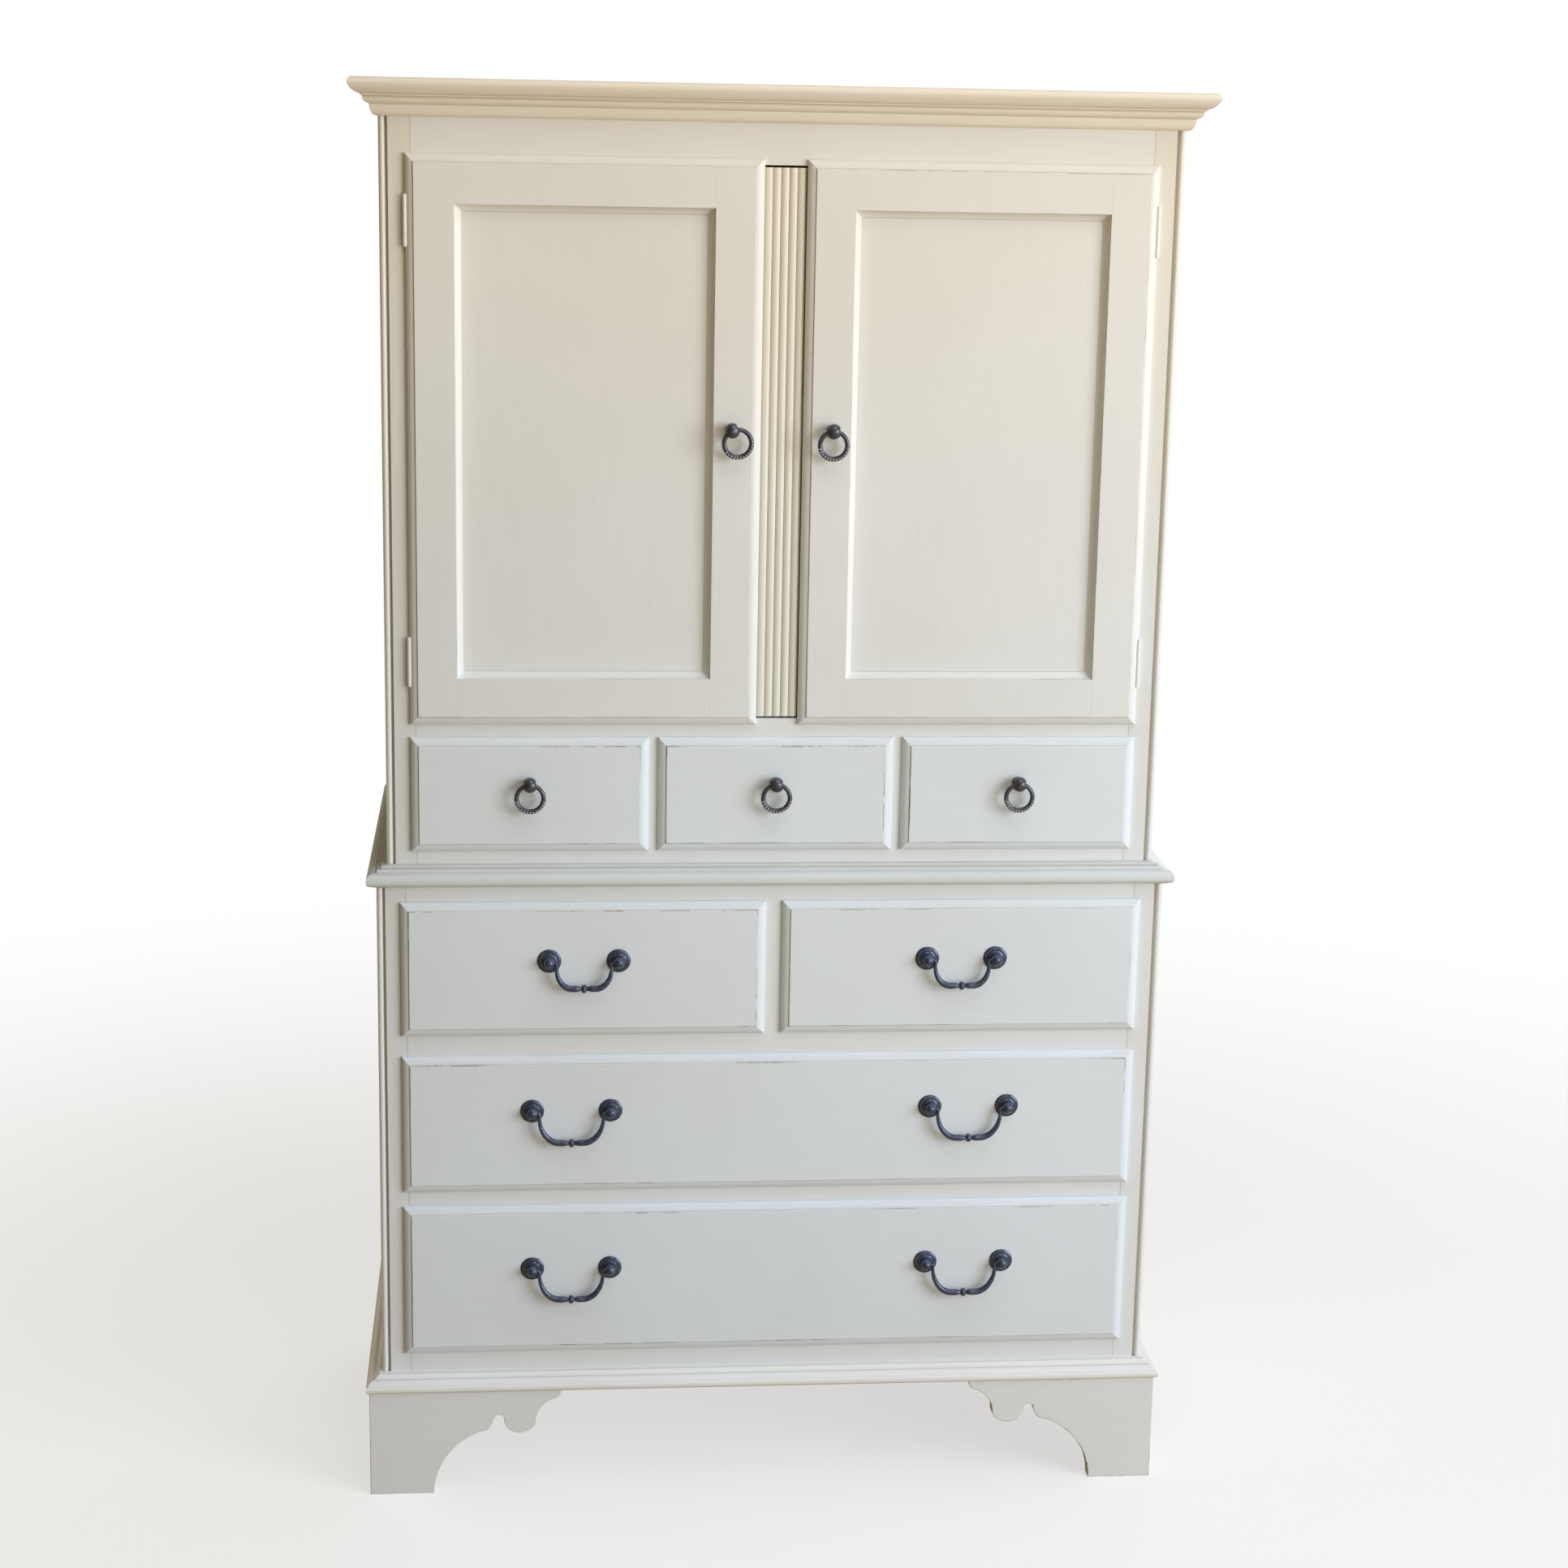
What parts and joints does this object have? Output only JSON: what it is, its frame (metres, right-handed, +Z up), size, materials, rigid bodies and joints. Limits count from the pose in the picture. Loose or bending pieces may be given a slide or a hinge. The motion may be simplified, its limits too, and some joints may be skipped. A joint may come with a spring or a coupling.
{
  "type": "door chest",
  "caption": "Painted cupboard on a chest of drawers: two panelled doors with a reeded strip, small, short and long drawers, ring and bail pulls, bracket feet.",
  "frame": {"origin": "on the floor, under the middle of the whole chest with its pulls", "axes": "+X to the right seen from the front, +Y to the back, +Z up"},
  "size_m": [1.059, 0.5482, 1.83],
  "materials": {
    "painted_wood": "satin off-white paint, lightly rubbed along the arrises",
    "bare_wood": "bare, lightly waxed",
    "pull_bronze": "dark patinated bronze, satin",
    "hinge_metal": "painted over with the case"
  },
  "bodies": {
    "root": {"crown_moulding": "painted_wood", "upper_boards": "bare_wood", "upper_sides": "painted_wood", "upper_stiles": "painted_wood", "upper_rails": "painted_wood", "upper_back": "bare_wood", "upper_runners": "bare_wood", "waist_moulding": "painted_wood", "lower_boards": "bare_wood", "lower_sides": "painted_wood", "lower_stiles": "painted_wood", "lower_rails": "painted_wood", "lower_back": "bare_wood", "lower_runners": "bare_wood", "base_moulding": "painted_wood", "front_feet": "painted_wood", "rear_feet": "painted_wood", "hinge_case_leaves": "hinge_metal", "hinge_pins": "hinge_metal"},
    "left_door": {"left_door_frame": "painted_wood", "left_door_panel": "painted_wood", "left_door_hinge_leaves": "hinge_metal", "left_door_pull": "pull_bronze", "meeting_strip": "painted_wood"},
    "right_door": {"right_door_frame": "painted_wood", "right_door_panel": "painted_wood", "right_door_hinge_leaves": "hinge_metal", "right_door_pull": "pull_bronze"},
    "small_left_drawer": {"small_left_drawer_front": "painted_wood", "small_left_drawer_box": "bare_wood", "small_left_drawer_pulls": "pull_bronze"},
    "small_left_drawer_ring": {"small_left_drawer_ring": "pull_bronze"},
    "small_middle_drawer": {"small_middle_drawer_front": "painted_wood", "small_middle_drawer_box": "bare_wood", "small_middle_drawer_pulls": "pull_bronze"},
    "small_middle_drawer_ring": {"small_middle_drawer_ring": "pull_bronze"},
    "small_right_drawer": {"small_right_drawer_front": "painted_wood", "small_right_drawer_box": "bare_wood", "small_right_drawer_pulls": "pull_bronze"},
    "small_right_drawer_ring": {"small_right_drawer_ring": "pull_bronze"},
    "short_left_drawer": {"short_left_drawer_front": "painted_wood", "short_left_drawer_box": "bare_wood", "short_left_drawer_pulls": "pull_bronze"},
    "short_left_drawer_bail": {"short_left_drawer_bail": "pull_bronze"},
    "short_right_drawer": {"short_right_drawer_front": "painted_wood", "short_right_drawer_box": "bare_wood", "short_right_drawer_pulls": "pull_bronze"},
    "short_right_drawer_bail": {"short_right_drawer_bail": "pull_bronze"},
    "long_upper_drawer": {"long_upper_drawer_front": "painted_wood", "long_upper_drawer_box": "bare_wood", "long_upper_drawer_pulls": "pull_bronze"},
    "long_upper_drawer_left_bail": {"long_upper_drawer_left_bail": "pull_bronze"},
    "long_upper_drawer_right_bail": {"long_upper_drawer_right_bail": "pull_bronze"},
    "long_lower_drawer": {"long_lower_drawer_front": "painted_wood", "long_lower_drawer_box": "bare_wood", "long_lower_drawer_pulls": "pull_bronze"},
    "long_lower_drawer_left_bail": {"long_lower_drawer_left_bail": "pull_bronze"},
    "long_lower_drawer_right_bail": {"long_lower_drawer_right_bail": "pull_bronze"},
    "left_door_ring": {"left_door_ring": "pull_bronze"},
    "right_door_ring": {"right_door_ring": "pull_bronze"}
  },
  "joints": [
    {"name": "left_door_hinge", "type": "hinge", "parent": "root", "child": "left_door", "pos_m": [-0.4635, -0.2357, 1.3904], "axis": [0, 0, -1], "range_deg": [0, 150]},
    {"name": "right_door_hinge", "type": "hinge", "parent": "root", "child": "right_door", "pos_m": [0.4635, -0.2357, 1.3904], "axis": [0, 0, 1], "range_deg": [0, 150]},
    {"name": "small_left_drawer_slide", "type": "slide", "parent": "root", "child": "small_left_drawer", "axis": [0, -1, 0], "range_m": [0, 0.36]},
    {"name": "small_left_drawer_ring_pivot", "type": "hinge", "parent": "small_left_drawer", "child": "small_left_drawer_ring", "pos_m": [-0.313, -0.2554, 0.96395], "axis": [-1, 0, 0], "range_deg": [-14, 120]},
    {"name": "small_middle_drawer_slide", "type": "slide", "parent": "root", "child": "small_middle_drawer", "axis": [0, -1, 0], "range_m": [0, 0.36]},
    {"name": "small_middle_drawer_ring_pivot", "type": "hinge", "parent": "small_middle_drawer", "child": "small_middle_drawer_ring", "pos_m": [0, -0.2554, 0.96395], "axis": [-1, 0, 0], "range_deg": [-14, 120]},
    {"name": "small_right_drawer_slide", "type": "slide", "parent": "root", "child": "small_right_drawer", "axis": [0, -1, 0], "range_m": [0, 0.36]},
    {"name": "small_right_drawer_ring_pivot", "type": "hinge", "parent": "small_right_drawer", "child": "small_right_drawer_ring", "pos_m": [0.313, -0.2554, 0.96395], "axis": [-1, 0, 0], "range_deg": [-14, 120]},
    {"name": "short_left_drawer_slide", "type": "slide", "parent": "root", "child": "short_left_drawer", "axis": [0, -1, 0], "range_m": [0, 0.38]},
    {"name": "short_left_drawer_bail_pivot", "type": "hinge", "parent": "short_left_drawer", "child": "short_left_drawer_bail", "pos_m": [-0.24438, -0.2669, 0.7332], "axis": [-1, 0, 0], "range_deg": [-6, 120]},
    {"name": "short_right_drawer_slide", "type": "slide", "parent": "root", "child": "short_right_drawer", "axis": [0, -1, 0], "range_m": [0, 0.38]},
    {"name": "short_right_drawer_bail_pivot", "type": "hinge", "parent": "short_right_drawer", "child": "short_right_drawer_bail", "pos_m": [0.24438, -0.2669, 0.7332], "axis": [-1, 0, 0], "range_deg": [-6, 120]},
    {"name": "long_upper_drawer_slide", "type": "slide", "parent": "root", "child": "long_upper_drawer", "axis": [0, -1, 0], "range_m": [0, 0.38]},
    {"name": "long_upper_drawer_left_bail_pivot", "type": "hinge", "parent": "long_upper_drawer", "child": "long_upper_drawer_left_bail", "pos_m": [-0.26, -0.2669, 0.5311], "axis": [-1, 0, 0], "range_deg": [-6, 120]},
    {"name": "long_upper_drawer_right_bail_pivot", "type": "hinge", "parent": "long_upper_drawer", "child": "long_upper_drawer_right_bail", "pos_m": [0.26, -0.2669, 0.5311], "axis": [-1, 0, 0], "range_deg": [-6, 120]},
    {"name": "long_lower_drawer_slide", "type": "slide", "parent": "root", "child": "long_lower_drawer", "axis": [0, -1, 0], "range_m": [0, 0.38]},
    {"name": "long_lower_drawer_left_bail_pivot", "type": "hinge", "parent": "long_lower_drawer", "child": "long_lower_drawer_left_bail", "pos_m": [-0.26, -0.2669, 0.3136], "axis": [-1, 0, 0], "range_deg": [-6, 120]},
    {"name": "long_lower_drawer_right_bail_pivot", "type": "hinge", "parent": "long_lower_drawer", "child": "long_lower_drawer_right_bail", "pos_m": [0.26, -0.2669, 0.3136], "axis": [-1, 0, 0], "range_deg": [-6, 120]},
    {"name": "left_door_ring_pivot", "type": "hinge", "parent": "left_door", "child": "left_door_ring", "pos_m": [-0.0632, -0.2554, 1.4133], "axis": [-0.9135, 0, -0.4067], "range_deg": [-14, 120]},
    {"name": "right_door_ring_pivot", "type": "hinge", "parent": "right_door", "child": "right_door_ring", "pos_m": [0.0632, -0.2554, 1.4133], "axis": [-1, 0, 0], "range_deg": [-14, 120]}
  ]
}
